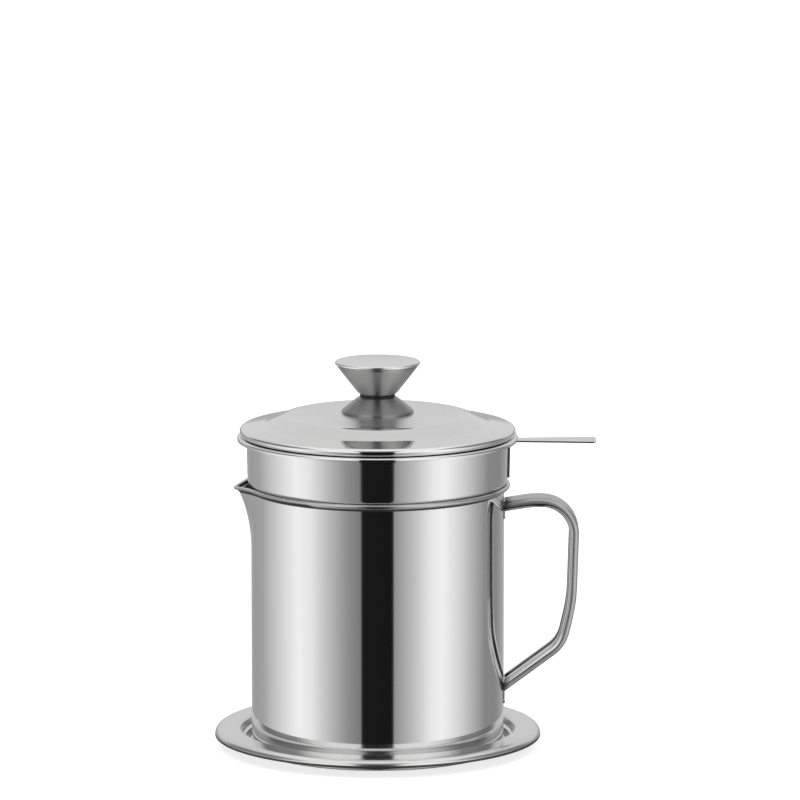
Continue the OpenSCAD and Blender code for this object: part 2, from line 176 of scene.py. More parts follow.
roof = studio.node(
    "ShaderNodeValToRGB",
    {"stops": [(0, CEILING_TONE), (0.6, CEILING_TONE), (0.8, BACKDROP_TONE), (1, BACKDROP_TONE)]},
    {"Fac": y * 0.5 + 0.5},
)
off_middle = abs(x)
headboard = studio.node(
    "ShaderNodeMapRange",
    {"interpolation_type": "SMOOTHSTEP"},
    {"Value": off_middle, "From Min": 0.2, "From Max": 0.34, "To Min": HEADBOARD_TONE, "To Max": 1.0},
)
over_front = studio.node(
    "ShaderNodeMapRange",
    {"interpolation_type": "SMOOTHSTEP"},
    {"Value": y, "From Min": -0.4, "From Max": -0.7, "To Min": 0.0, "To Max": 1.0},
)
flags = studio.node(
    "ShaderNodeMapRange",
    {"interpolation_type": "SMOOTHSTEP"},
    {"Value": off_middle, "From Min": 0.6, "From Max": 0.82, "To Min": 1.0, "To Max": FLAG_TONE},
)
roof = roof * flags * (1 - over_front * (1 - headboard))
under_set = studio.node(
    "ShaderNodeMapRange",
    {"interpolation_type": "SMOOTHSTEP"},
    {"Value": height, "From Min": -0.4, "From Max": -0.9, "To Min": 1.0, "To Max": FLOOR_TONE},
)
tone = panels * BRIGHTEST * under_set * (1 - over_panels) + roof * over_panels
seen = studio.node("ShaderNodeLightPath", output="Is Camera Ray")
light = studio.node("ShaderNodeBackground", inputs={"Color": tone, "Strength": 1.0})
white = studio.node("ShaderNodeBackground", inputs={"Color": (1, 1, 1, 1), "Strength": 1.0})
sky = studio.node("ShaderNodeMixShader", inputs={0: seen, 1: light, 2: white})
studio.node("ShaderNodeOutputWorld", inputs={"Surface": sky})

FLOOR_SIZE = 14
floor_mesh = bpy.data.meshes.new("floor")
corners = [(sx * FLOOR_SIZE / 2, sy * FLOOR_SIZE / 2, 0) for sx, sy in ((-1, -1), (1, -1), (1, 1), (-1, 1))]
floor_mesh.from_pydata(corners, [], [(0, 1, 2, 3)])
floor = bpy.data.objects.new("floor", floor_mesh)
bpy.context.scene.collection.objects.link(floor)
floor.visible_glossy = False
paper = bpy.data.materials.new("white_paper")
paper.use_nodes = True
paper.node_tree.nodes.clear()
sheet = Wire(paper.node_tree)
matt = sheet.node("ShaderNodeBsdfDiffuse", inputs={"Color": (0.8, 0.8, 0.8, 1)})
glow = sheet.node("ShaderNodeEmission", inputs={"Color": (1, 1, 1, 1), "Strength": 0.66})
lit = sheet.node("ShaderNodeAddShader", inputs={0: matt, 1: glow})
seen = sheet.node("ShaderNodeLightPath", output="Is Camera Ray")
surface = sheet.node("ShaderNodeMixShader", inputs={0: seen, 1: matt, 2: lit})
sheet.node("ShaderNodeOutputMaterial", inputs={"Surface": surface})
floor_mesh.materials.append(paper)


# Drip tray: one pressed sheet with a stepped well for the pot, a raised ring in its floor and a rolled rim.
# Its satin finish runs in fine rings round the middle, and a band at the foot of its rim is rough and painted
# dark as the floor's contact shadow.
MM = 0.001
SHEET = 0.6
SAME_POINT = 1e-7
CRISP_ANGLE = math.radians(38)


def turned(v, angle):
    """The direction v = (x, z), turned anticlockwise."""
    return (v[0] * math.cos(angle) - v[1] * math.sin(angle), v[0] * math.sin(angle) + v[1] * math.cos(angle))


def bent(line, step=6.0):
    """Points and directions along a sheet's middle line, in mm.

    Each corner (x, z, bend radius) is rounded in steps of so many degrees.
    """
    legs = []
    for a, b in zip(line, line[1:]):
        length = math.hypot(b[0] - a[0], b[1] - a[1])
        legs.append(((b[0] - a[0]) / length, (b[1] - a[1]) / length))
    path = [((line[0][0], line[0][1]), legs[0])]
    for (cx, cz, radius), u, w in zip(line[1:-1], legs, legs[1:]):
        sweep = math.atan2(u[0] * w[1] - u[1] * w[0], u[0] * w[0] + u[1] * w[1])
        side = math.copysign(radius, sweep)
        back = radius * math.tan(abs(sweep) / 2)
        start = (cx - u[0] * back, cz - u[1] * back)
        spoke = (u[1] * side, -u[0] * side)
        steps = max(2, math.ceil(abs(math.degrees(sweep)) / step))
        for k in range(steps + 1):
            arm = turned(spoke, sweep * k / steps)
            point = (start[0] - spoke[0] + arm[0], start[1] - spoke[1] + arm[1])
            if math.dist(point, path[-1][0]) > 0.005:
                path.append((point, turned(u, sweep * k / steps)))
    path.append(((line[-1][0], line[-1][1]), legs[-1]))
    return path


def both_faces(path, thickness):
    """The closed outline of a sheet: out along its left face and back along its right one."""
    half = thickness / 2
    left = [(p[0] - d[1] * half, p[1] + d[0] * half) for p, d in path]
    right = [(p[0] + d[1] * half, p[1] - d[0] * half) for p, d in path]
    return left + right[::-1]


def placed(name, rings, closed_round, material, caps=False):
    """A smooth mesh over rings of points in mm, each ring a closed outline. Sharp edges stay crisp."""
    mesh = bpy.data.meshes.new(name)
    count = len(rings[0])
    points = [tuple(c * MM for c in p) for ring in rings for p in ring]
    faces = []
    for i in range(len(rings) if closed_round else len(rings) - 1):
        a, b = i * count, (i + 1) % len(rings) * count
        faces += [(a + j, a + (j + 1) % count, b + (j + 1) % count, b + j) for j in range(count)]
    if caps:
        faces += [tuple(range(count))[::-1], tuple(len(points) - count + j for j in range(count))]
    mesh.from_pydata(points, [], faces)
    body = bmesh.new()
    body.from_mesh(mesh)
    bmesh.ops.remove_doubles(body, verts=body.verts, dist=SAME_POINT)
    bmesh.ops.recalc_face_normals(body, faces=body.faces)
    body.to_mesh(mesh)
    body.free()
    mesh.shade_smooth()
    mesh.set_sharp_from_angle(angle=CRISP_ANGLE)
    mesh.materials.append(material)
    piece = bpy.data.objects.new(name, mesh)
    bpy.context.scene.collection.objects.link(piece)
    return piece


def spun(name, outline, height, material, columns=180):
    """A sheet's outline in mm spun round the axis, at a height in mm."""
    rings = []
    for k in range(columns):
        a = 2 * math.pi * k / columns
        rings.append([(r * math.cos(a), r * math.sin(a), z + height) for r, z in outline])
    return placed(name, rings, True, material)


def spun_steel(name, tone, roughness, lines, depth, streak=0.0, contrast=0.16, matt_middle=None):
    """Steel finished on a lathe: fine rings round the axis, with a count of lines per mm and a depth in mm.

    Streak draws the highlights out across the rings, and contrast is how far their tones differ.
    A matt middle (inner and outer radius of its fade in mm, added roughness) is less polished than the rest.
    """
    material = bpy.data.materials.new(name)
    material.use_nodes = True
    material.node_tree.nodes.clear()
    start = Wire(material.node_tree)
    place = start.node("ShaderNodeTexCoord", output="Object")
    x, y, z = (
        start.node("ShaderNodeSeparateXYZ", inputs={"Vector": place}, output=axis) for axis in ("X", "Y", "Z")
    )
    radius = start.math("SQRT", x * x + y * y)
    bearing = start.math("ARCTAN2", y, x)
    grain_place = start.node(
        "ShaderNodeCombineXYZ", inputs={"X": radius * (lines / MM), "Y": bearing * 1.5, "Z": z * (lines / MM)}
    )
    grain = start.node("ShaderNodeTexNoise", inputs={"Vector": grain_place, "Scale": 1.0, "Detail": 3.0})
    cloud = start.node("ShaderNodeTexNoise", inputs={"Vector": place, "Scale": 28.0, "Detail": 2.0})
    shade = (grain - 0.5) * contrast + (cloud - 0.5) * 0.06 + 1
    colour = start.node(
        "ShaderNodeMix",
        {"data_type": "RGBA", "blend_type": "MULTIPLY"},
        {"Factor": 1.0, "A": (tone, tone, tone * 0.995, 1), "B": start.node(
            "ShaderNodeCombineColor", inputs={"Red": shade, "Green": shade, "Blue": shade})},
        output="Result",
    )
    bump = start.node("ShaderNodeBump", inputs={"Height": grain, "Distance": depth * MM, "Strength": 1.0})
    gloss = (grain - 0.5) * 0.12 + (cloud - 0.5) * 0.06 + roughness
    if matt_middle:
        fade_in, fade_out, added = matt_middle
        gloss = gloss + start.node(
            "ShaderNodeMapRange",
            {"interpolation_type": "SMOOTHSTEP"},
            {
                "Value": radius, "From Min": fade_in * MM, "From Max": fade_out * MM,
                "To Min": added, "To Max": 0.0,
            },
        )
    metal = start.node(
        "ShaderNodeBsdfPrincipled",
        inputs={
            "Base Color": colour, "Metallic": 1.0, "Roughness": gloss,
            "Normal": bump, "Anisotropic": streak, "Anisotropic Rotation": 0.25,
        },
    )
    start.node("ShaderNodeOutputMaterial", inputs={"Surface": metal})
    return material


WELL_R = 67.0
RAISED_RING_R = 39.6
TRAY_R = 84.0
TRAY_H = 9.3
SHADOW_BAND_TOP = TRAY_H - 3
tray_finish = spun_steel("spun_tray_steel", tone=0.74, roughness=0.2, lines=5.0, depth=0.0015, streak=0.3)
tray_line = [
    (0, SHEET / 2, 0),
    (RAISED_RING_R - 2.6, SHEET / 2, 2), (RAISED_RING_R - 1, SHEET / 2 + 0.5, 1.5),
    (RAISED_RING_R + 1, SHEET / 2 + 0.5, 1.5), (RAISED_RING_R + 2.6, SHEET / 2, 2),
    (WELL_R, SHEET / 2, 2), (WELL_R + 1.3, 4.3, 0.8), (WELL_R + 2.6, 4.9, 0.8), (WELL_R + 4, TRAY_H, 1.8),
    (TRAY_R - SHEET / 2, TRAY_H - 0.4, 3.3), (TRAY_R - SHEET / 2, TRAY_H - 4, 0),
]
pressed_tray = spun("pressed_tray", both_faces(bent(tray_line), SHEET), 0, tray_finish)
# Painted shadow: the rim's lowest band is rough and painted near black as the floor's contact shadow.
painted_shadow_finish = spun_steel("painted_shadow_edge_steel", tone=0.1, roughness=0.5, lines=6.0, depth=0.001)
pressed_tray.data.materials.append(painted_shadow_finish)
# Faces at the bottom of the rim get the painted shadow.
for face in pressed_tray.data.polygons:
    on_rim = math.hypot(face.center.x, face.center.y) > (TRAY_R - 1) * MM
    if on_rim and face.center.z < SHADOW_BAND_TOP * MM:
        face.material_index = 1
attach(pressed_tray, "tray")
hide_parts("tray")


# Pot: drawn from one sheet, its rim rolled out to a bead and its lip pressed out to a spout on the left.
# Outside it is polished to a mirror, inside it keeps the fine level lines of the brushing. The bead is satin,
# and the corner under it is rough and painted dark as shade.
# Tone that the painted shade leaves in the shaded bands of polished steel
PAINTED_SHADE_TONE = 0.12


def mirror_steel(name, tone=0.8, roughness=0.05, shaded_bands=()):
    """Polished steel with faint haze. Bands of (height, half width, fade) in mm are rougher and painted dark
    as shade.
    """
    material = bpy.data.materials.new(name)
    material.use_nodes = True
    material.node_tree.nodes.clear()
    start = Wire(material.node_tree)
    place = start.node("ShaderNodeTexCoord", output="Object")
    haze = start.node("ShaderNodeTexNoise", inputs={"Vector": place, "Scale": 35.0, "Detail": 3.0})
    waves = start.node("ShaderNodeTexNoise", inputs={"Vector": place, "Scale": 9.0, "Detail": 0.0})
    bump = start.node("ShaderNodeBump", inputs={"Height": waves, "Distance": 0.00012, "Strength": 1.0})
    colour = (tone, tone, tone * 0.997, 1)
    gloss = (haze - 0.5) * 0.04 + roughness
    # Painted shade: each band is rougher, and its colour is painted dark as shade.
    if shaded_bands:
        z = start.node("ShaderNodeSeparateXYZ", inputs={"Vector": place}, output="Z") / MM
        shade = tone
        for middle, half, fade in shaded_bands:
            # Outside the band polish is 1; inside it the colour is painted dark as shade and the steel is
            # rougher.
            polish = start.node(
                "ShaderNodeMapRange",
                {"interpolation_type": "SMOOTHSTEP"},
                {
                    "Value": abs(z - middle), "From Min": half, "From Max": half + fade,
                    "To Min": 0.0, "To Max": 1.0,
                },
            )
            shade = (polish * (1 - PAINTED_SHADE_TONE) + PAINTED_SHADE_TONE) * shade
            gloss = (1 - polish) * 0.3 + gloss
        colour = start.node("ShaderNodeCombineColor", inputs={"Red": shade, "Green": shade, "Blue": shade})
    metal = start.node(
        "ShaderNodeBsdfPrincipled",
        inputs={"Base Color": colour, "Metallic": 1.0, "Roughness": gloss, "Normal": bump},
    )
    start.node("ShaderNodeOutputMaterial", inputs={"Surface": metal})
    return material


POT_H = 136.5
POT_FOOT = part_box("pot_body")[0].z / MM
POT_MID_R = 65.0 - SHEET / 2
BASE_RISE = 1.5
FOOT_W = 15.2
RIM_FLARE = 1.15
FLARE_LOW = 3.4
FLARE_HIGH = 1.9
BEAD_H = 2.5
BEAD_BEND = BEAD_H / 2 - SHEET / 2
FLAT_BEAD_H = 1.7
FLAT_BEAD_HALF_W = 1.05
TIP_NARROWING = 0.3
SPOUT_DRAW = 6.3
SPOUT_DEPTH = 32.0
SPOUT_STRAIGHT = 3
SPOUT_TIP = 6.5
SPOUT_DIP = 2.1
DIP_DEPTH = 20.0
FLAT_HALF_ANGLE = 62.0
NARROW_HALF_ANGLE = 26.0
WALL_TOP = 34.0
WALL_TOP_END = 3.8


def keel(depth):
    """How far the spout draws the wall out at a depth under the rim."""
    return SPOUT_DRAW * max(0.0, 1 - max(0.0, depth - SPOUT_STRAIGHT) / SPOUT_DEPTH) ** 2


def drawn_r(angle, draw):
    """Radius of the wall's middle at an angle from the spout's tip: a round, two flats, then a circle."""
    far = POT_MID_R + draw - SPOUT_TIP
    flat_end = math.acos((POT_MID_R - SPOUT_TIP) / far)
    round_end = math.atan2(SPOUT_TIP * math.sin(flat_end), far + SPOUT_TIP * math.cos(flat_end))
    a = abs(math.radians(angle))
    if a < round_end:
        return far * math.cos(a) + math.sqrt(SPOUT_TIP ** 2 - (far * math.sin(a)) ** 2)
    return POT_MID_R / math.cos(flat_end - a) if a < flat_end else POT_MID_R


def eased(t):
    t = min(1.0, max(0.0, t))
    return t * t * (3 - 2 * t)


def rim_dip(angle):
    """How far the rim sinks at an angle from the spout's tip."""
    return SPOUT_DIP * (drawn_r(angle, SPOUT_DRAW) - POT_MID_R) / SPOUT_DRAW


def pot_section(angle):
    """The pot's middle line at an angle from the spout's tip, from the base's middle to the bead's end."""
    foot_r = POT_MID_R - FOOT_W
    base = bent([
        (0, BASE_RISE + SHEET / 2, 0), (foot_r - 3.2, BASE_RISE + SHEET / 2, 3), (foot_r, SHEET / 2, 3),
        (POT_MID_R, SHEET / 2, 6), (POT_MID_R, POT_H - WALL_TOP - 2, 0),
    ])
    points = [p for p, _ in base]
    flat = eased((FLAT_HALF_ANGLE - abs(angle)) / 4)
    at_tip = eased(1 - abs(angle) / NARROW_HALF_ANGLE)
    height = BEAD_H + (FLAT_BEAD_H - BEAD_H) * flat
    half_w = BEAD_BEND + (FLAT_BEAD_HALF_W - TIP_NARROWING * at_tip - BEAD_BEND) * flat
    half_h = height / 2 - SHEET / 2
    dip = rim_dip(angle)
    depths = [WALL_TOP_END + (WALL_TOP - WALL_TOP_END) * (1 - k / 16) ** 1.3 for k in range(17)]
    for depth in depths:
        drop = dip * max(0.0, 1 - depth / DIP_DEPTH) ** 2
        points.append((drawn_r(angle, keel(depth)), POT_H - depth - drop))
    for k in range(9):
        depth = FLARE_LOW + (FLARE_HIGH - FLARE_LOW) * k / 8
        drop = dip * (1 - depth / DIP_DEPTH) ** 2
        points.append((drawn_r(angle, keel(depth)) + RIM_FLARE * eased(k / 8), POT_H - depth - drop))
    for k in range(19):
        a = math.radians(180 - 15 * k)
        points.append((
            drawn_r(angle, keel(1)) + RIM_FLARE + half_w + half_w * math.cos(a),
            POT_H - height / 2 - dip + half_h * math.sin(a),
        ))
    return points


def offset_both(points, thickness):
    """The closed outline of a sheet round a stepped middle line."""
    path = []
    for i, point in enumerate(points):
        before, after = points[max(0, i - 1)], points[min(len(points) - 1, i + 1)]
        length = math.dist(before, after)
        path.append((point, ((after[0] - before[0]) / length, (after[1] - before[1]) / length)))
    return both_faces(path, thickness)


spout_columns = [1.5 * k for k in range(-42, 43)]
round_columns = [63 + 3 * k for k in range(1, 78)]
rings = []
for angle in spout_columns + round_columns:
    signed = angle if angle <= 180 else angle - 360
    a = math.radians(180 - signed)
    rings.append([
        (r * math.cos(a), r * math.sin(a), z + POT_FOOT) for r, z in offset_both(pot_section(signed), SHEET)
    ])
pot_outside = mirror_steel("polished_pot_steel")
pot_inside = spun_steel(
    "brushed_pot_inside", tone=0.92, roughness=0.34, lines=1.8, depth=0.005, streak=1.0, contrast=0.6
)
bead_finish = spun_steel("satin_bead_steel", tone=0.56, roughness=0.24, lines=6.0, depth=0.001, streak=0.3)
# Painted shade: the corner under the bead is rough and painted near black, as shade under the bead.
painted_shade_corner_finish = spun_steel("painted_shade_corner_steel", tone=0.1, roughness=0.5, lines=6.0, depth=0.001)
drawn_pot = placed("drawn_pot", rings, True, pot_outside)
for finish in (pot_inside, bead_finish, painted_shade_corner_finish):
    drawn_pot.data.materials.append(finish)
INSIDE, BEAD, CORNER = 1, 2, 3
CORNER_TOP = 1.6
CORNER_END = 3.95
CORNER_W = 0.4
FLOOR_BAND = 20
for face in drawn_pot.data.polygons:
    middle = face.center / MM
    outwards = Vector((middle.x, middle.y, 0)).normalized()
    facing = face.normal.dot(outwards)
    from_tip = math.degrees(math.atan2(middle.y, -middle.x))
    below = POT_FOOT + POT_H - middle.z
    depth = below - rim_dip(from_tip) * max(0.0, 1 - below / DIP_DEPTH) ** 2
    past_wall = math.hypot(middle.x, middle.y) - drawn_r(from_tip, SPOUT_DRAW)
    on_floor = face.normal.z > 0.5 and middle.z < FLOOR_BAND
    # Faces in the corner under the bead get the painted shade.
    if facing > 0.2 and CORNER_TOP < depth < CORNER_END and past_wall < RIM_FLARE + CORNER_W:
        face.material_index = CORNER
    elif depth < FLARE_LOW:
        face.material_index = BEAD
    elif facing < -0.2 or on_floor:
        face.material_index = INSIDE
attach(drawn_pot, "pot")
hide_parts("pot_body")


# Pot handle: a strip whose two long edges are folded in until only a slot is left, bent to a loop and
# spot welded to the wall on two rounded plates. Its face is brushed, its folds are polished by the bending,
# and it is darker towards its two welded ends.
def strip_steel(name, tone, roughness, weld_r=0.0):
    """Steel brushed along its length, its lines spread along Y. It is darker within a few mm of a weld's
    radius in mm.
    """
    material = bpy.data.materials.new(name)
    material.use_nodes = True
    material.node_tree.nodes.clear()
    start = Wire(material.node_tree)
    place = start.node("ShaderNodeTexCoord", output="Object")
    stretched = start.node("ShaderNodeMapping", inputs={"Vector": place, "Scale": (60, 5200, 60)})
    grain = start.node("ShaderNodeTexNoise", inputs={"Vector": stretched, "Scale": 1.0, "Detail": 3.0})
    cloud = start.node("ShaderNodeTexNoise", inputs={"Vector": place, "Scale": 60.0, "Detail": 2.0})
    shade = (grain - 0.5) * 0.2 + (cloud - 0.5) * 0.08 + 1
    if weld_r:
        x, y = (
            start.node("ShaderNodeSeparateXYZ", inputs={"Vector": place}, output=axis) for axis in ("X", "Y")
        )
        off_weld = start.math("SQRT", x * x + y * y) / MM - weld_r + (cloud - 0.5) * 3
        shade = shade * start.node(
            "ShaderNodeMapRange",
            {"interpolation_type": "SMOOTHSTEP"},
            {"Value": off_weld, "From Min": 0.4, "From Max": 5.0, "To Min": 0.25, "To Max": 1.0},
        )
    colour = start.node(
        "ShaderNodeMix",
        {"data_type": "RGBA", "blend_type": "MULTIPLY"},
        {"Factor": 1.0, "A": (tone, tone, tone * 0.995, 1), "B": start.node(
            "ShaderNodeCombineColor", inputs={"Red": shade, "Green": shade, "Blue": shade})},
        output="Result",
    )
    bump = start.node("ShaderNodeBump", inputs={"Height": grain, "Distance": 0.000004, "Strength": 1.0})
    metal = start.node(
        "ShaderNodeBsdfPrincipled",
        inputs={
            "Base Color": colour, "Metallic": 1.0,
            "Roughness": (grain - 0.5) * 0.1 + (cloud - 0.5) * 0.08 + roughness, "Normal": bump,
        },
    )
    start.node("ShaderNodeOutputMaterial", inputs={"Surface": metal})
    return material


STRAP_W = 18.0
STRAP_DEPTH = 5.0
STRAP_SHEET = 0.8
STRAP_SLOT = 7.0
POLISHED_FROM = STRAP_DEPTH * 0.57
WELD_R = 65.0
WELD_T = 0.8
HANDLE_TOP = 127.4
HANDLE_FOOT = 27.9
handle_line = [
    (WELD_R - 2, HANDLE_TOP - 0.35, 0), (WELD_R + 14.5, HANDLE_TOP + 2.2, 40),
    (WELD_R + 39, HANDLE_TOP + 1.7, 19), (WELD_R + 37.3, 74.5, 80),
    (WELD_R + 32, HANDLE_FOOT + 23.8, 20), (WELD_R - 2, HANDLE_FOOT - 1.5, 0),
]
fold = (STRAP_DEPTH - STRAP_SHEET) / 2
edge = STRAP_W / 2 - STRAP_SHEET / 2
near, deep = STRAP_SHEET / 2, STRAP_DEPTH - STRAP_SHEET / 2
section = both_faces(
    bent([
        (STRAP_SLOT / 2, deep, 0), (edge, deep, fold), (edge, near, fold),
        (-edge, near, fold), (-edge, deep, fold), (-STRAP_SLOT / 2, deep, 0),
    ], step=12),
    STRAP_SHEET,
)
loop = bent(handle_line, step=4)
seat_r = WELD_R + WELD_T
rings = []
for index, (point, direction) in enumerate(loop):
    ring = []
    for across, inward in section:
        x = point[0] + inward * direction[1]
        z = point[1] - inward * direction[0]
        if index in (0, len(loop) - 1):
            target = math.sqrt(seat_r ** 2 - across ** 2)
            along = (target - x) / direction[0]
            x, z = target, z + along * direction[1]
        ring.append((x, across, z + POT_FOOT))
    rings.append(ring)
handle_finish = strip_steel("brushed_strap_steel", tone=0.56, roughness=0.4, weld_r=WELD_R)
fold_finish = strip_steel("polished_fold_steel", tone=0.74, roughness=0.1, weld_r=WELD_R)
folded_strap = placed("folded_strap", rings, False, handle_finish, caps=True)
folded_strap.data.materials.append(fold_finish)
for face in folded_strap.data.polygons:
    if section[face.index % len(section)][1] > POLISHED_FROM:
        face.material_index = 1
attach(folded_strap, "pot")
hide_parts("pot_handle")


def rounded_plate(name, low, high, half_w, inner_r, thickness, corner, material):
    """A plate with rounded corners, bent to a round wall at the handles' side."""
    outline = []
    middle = (low + high) / 2
    for cx, cz, start in ((1, 1, 0), (-1, 1, 90), (-1, -1, 180), (1, -1, 270)):
        for k in range(7):
            a = math.radians(start + 15 * k)
            outline.append((
                cx * (half_w - corner) + corner * math.cos(a),
                middle + cz * ((high - low) / 2 - corner) + corner * math.sin(a),
            ))
    soft = min(0.25, thickness / 3)
    rings = []
    for inset, radius in (
        (0, inner_r), (0, inner_r + thickness - soft), (soft * 0.3, inner_r + thickness - soft * 0.3),
        (soft, inner_r + thickness),
    ):
        ring = []
        for across, z in outline:
            w = across * (1 - inset / half_w)
            a = w / radius
            ring.append((
                radius * math.cos(a), radius * math.sin(a),
                middle + (z - middle) * (1 - 2 * inset / (high - low)),
            ))
        rings.append(ring)
    return placed(name, rings, False, material, caps=True)


plate_finish = strip_steel("brushed_plate_steel", tone=0.55, roughness=0.34)
PLATE_HALF_W = 7
PLATE_CORNER = 3
plates = {
    "upper_weld_plate": ("upper_plate", HANDLE_TOP - 9.4, HANDLE_TOP - 0.3),
    "lower_weld_plate": ("lower_plate", HANDLE_FOOT - 6.5, HANDLE_FOOT + 6.6),
}
for name, (node, low, high) in plates.items():
    plate = rounded_plate(
        name, low + POT_FOOT, high + POT_FOOT, PLATE_HALF_W, WELD_R, WELD_T, PLATE_CORNER, plate_finish
    )
    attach(plate, "pot")
    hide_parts(node)


# Strainer bowl: a stepped bowl that sits on the pot's bead by its sloping shoulder. The lid rests on its rim,
# which is turned out flat with the edge rolled down. It is polished outside and finely brushed inside.
def top_of(node):
    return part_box(node)[1].z / MM


STRAINER_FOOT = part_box("strainer_bowl")[0].z / MM
STRAINER_H = top_of("strainer_bowl") - STRAINER_FOOT
LOW_R = 63.5
WALL_R = LOW_R + 3.5
WALL_TAPER = 0.5
WALL_TOP_Z = STRAINER_H - SHEET / 2
SHOULDER_FOOT = 6.1
SHOULDER_TOP = 10.0
RIM_R = WALL_R + 4.7
RIM_H = 2.2
MESH_OPEN_R = 56.0
bowl_line = [
    (MESH_OPEN_R, SHEET / 2, 0), (LOW_R, SHEET / 2, 5), (LOW_R, SHOULDER_FOOT, 2),
    (WALL_R - WALL_TAPER, SHOULDER_TOP, 2.5), (WALL_R, WALL_TOP_Z, 1.2),
    (RIM_R, WALL_TOP_Z, RIM_H / 2), (RIM_R, STRAINER_H - RIM_H, 0),
]
bowl_finish = mirror_steel("polished_strainer_steel", tone=0.8, roughness=0.07)
stepped_bowl = spun("stepped_bowl", both_faces(bent(bowl_line), SHEET), STRAINER_FOOT, bowl_finish)
bowl_inside = spun_steel(
    "brushed_bowl_inside", tone=0.68, roughness=0.14, lines=4.0, depth=0.0006, streak=0.3
)
stepped_bowl.data.materials.append(bowl_inside)
for face in stepped_bowl.data.polygons:
    outwards = Vector((face.center.x, face.center.y, 0)).normalized()
    if face.normal.dot(outwards) < -0.5:
        face.material_index = 1
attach(stepped_bowl, "strainer")
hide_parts("strainer_bowl")


# Strainer mesh: fine plain-woven wire laid at 45 degrees to the handle, held down by a flat spot-welded ring.
MESH_R = 58.5
WIRE_PITCH = 1.5
WIRE_R = 0.15
WEAVE_RISE = 0.15
mesh_level = STRAINER_FOOT + SHEET + WIRE_R + WEAVE_RISE
count = int((MESH_R - 0.5) / WIRE_PITCH)
points, faces = [], []
for direction in (45, 135):
    along = (math.cos(math.radians(direction)), math.sin(math.radians(direction)))
    across = (-along[1], along[0])
    for k in range(-count, count + 1):
        reach = math.sqrt(MESH_R ** 2 - (k * WIRE_PITCH) ** 2)
        crossings = int(reach / WIRE_PITCH * 2)
        for step in range(-crossings, crossings + 1):
            s = step * WIRE_PITCH / 2
            over = 1 if direction == 45 else -1
            lift = over * WEAVE_RISE * math.cos(math.pi * (s / WIRE_PITCH + k))
            for side in range(4):
                a = math.pi / 2 * side
                w = k * WIRE_PITCH + WIRE_R * math.cos(a)
                points.append((
                    (along[0] * s + across[0] * w) * MM, (along[1] * s + across[1] * w) * MM,
                    (mesh_level + lift + WIRE_R * math.sin(a)) * MM,
                ))
            if step > -crossings:
                b = len(points) - 4
                a = b - 4
                faces += [(a + i, a + (i + 1) % 4, b + (i + 1) % 4, b + i) for i in range(4)]
weave_mesh = bpy.data.meshes.new("woven_mesh")
weave_mesh.from_pydata(points, [], faces)
weave_mesh.shade_smooth()
woven_mesh = bpy.data.objects.new("woven_mesh", weave_mesh)
bpy.context.scene.collection.objects.link(woven_mesh)
weave_mesh.materials.append(mirror_steel("drawn_wire_steel", tone=0.7, roughness=0.25))
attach(woven_mesh, "strainer")
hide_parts("strainer_mesh")

ring_low = STRAINER_FOOT + 2 * SHEET
ring_line = [(MESH_OPEN_R - 0.4, SHEET / 2, 0), (MESH_R + 0.4, SHEET / 2, 0)]
ring_finish = spun_steel("brushed_ring_steel", tone=0.72, roughness=0.25, lines=4.0, depth=0.002)
flat_ring = spun("flat_mesh_ring", both_faces(bent(ring_line), SHEET), ring_low, ring_finish)
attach(flat_ring, "strainer")
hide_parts("mesh_ring")


# Strainer handle: a steel strip welded against the bowl's wall. It bends out under the rim and widens to its
# end, which has rounded corners. It is brushed along its length.
STRIP_T = 1.0
STRIP_W = 8.0
STRIP_END_W = 15.5
STRIP_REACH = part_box("strainer_handle")[1].x / MM
gap = (SHEET + STRIP_T) / 2
strip_z = STRAINER_H - RIM_H - STRIP_T / 2
strip_foot = SHOULDER_TOP + 1.8


def wall_r_at(z):
    return WALL_R - WALL_TAPER * (WALL_TOP_Z - z) / (WALL_TOP_Z - SHOULDER_TOP)


root_x = wall_r_at(strip_z) + gap
strip_line = [(wall_r_at(strip_foot) + gap, strip_foot, 0), (root_x, strip_z, 1), (STRIP_REACH, strip_z, 0)]
path = bent(strip_line, step=10)
end_corner = 1.5
tail = [(path[-2][0][0] + (STRIP_REACH - path[-2][0][0]) * k / 12, strip_z) for k in range(1, 12)]
tail += [
    (STRIP_REACH - end_corner + end_corner * math.sin(math.radians(a)), strip_z) for a in range(0, 91, 18)
]
path = path[:-1] + [(p, (1.0, 0.0)) for p in tail]
soft = 0.15
rings = []
for point, direction in path:
    spread = max(0.0, (point[0] - root_x) / (STRIP_REACH - root_x))
    half_w = (STRIP_W + (STRIP_END_W - STRIP_W) * spread) / 2
    past = point[0] - (STRIP_REACH - end_corner)
    if past > 0:
        half_w -= end_corner - math.sqrt(max(0.0, end_corner ** 2 - past ** 2))
    hug = 1 if spread == 0 else max(0.0, 1 - spread * 8)
    ring = []
    for side, face in ((1, 1), (-1, 1), (-1, -1), (1, -1)):
        corners = ((half_w, STRIP_T / 2 - soft), (half_w - soft, STRIP_T / 2))
        for across, out in corners if side * face > 0 else corners[::-1]:
            y = across * side
            reach_in = (root_x - math.sqrt(root_x ** 2 - y ** 2)) * hug
            offset = out * face
            ring.append((
                point[0] - reach_in + direction[1] * offset,
                y,
                point[1] - direction[0] * offset + STRAINER_FOOT,
            ))
    rings.append(ring)
strip_finish = strip_steel("brushed_strip_steel", tone=0.76, roughness=0.2)
handle_strip = placed("handle_strip", rings, False, strip_finish, caps=True)
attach(handle_strip, "strainer")
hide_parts("strainer_handle")


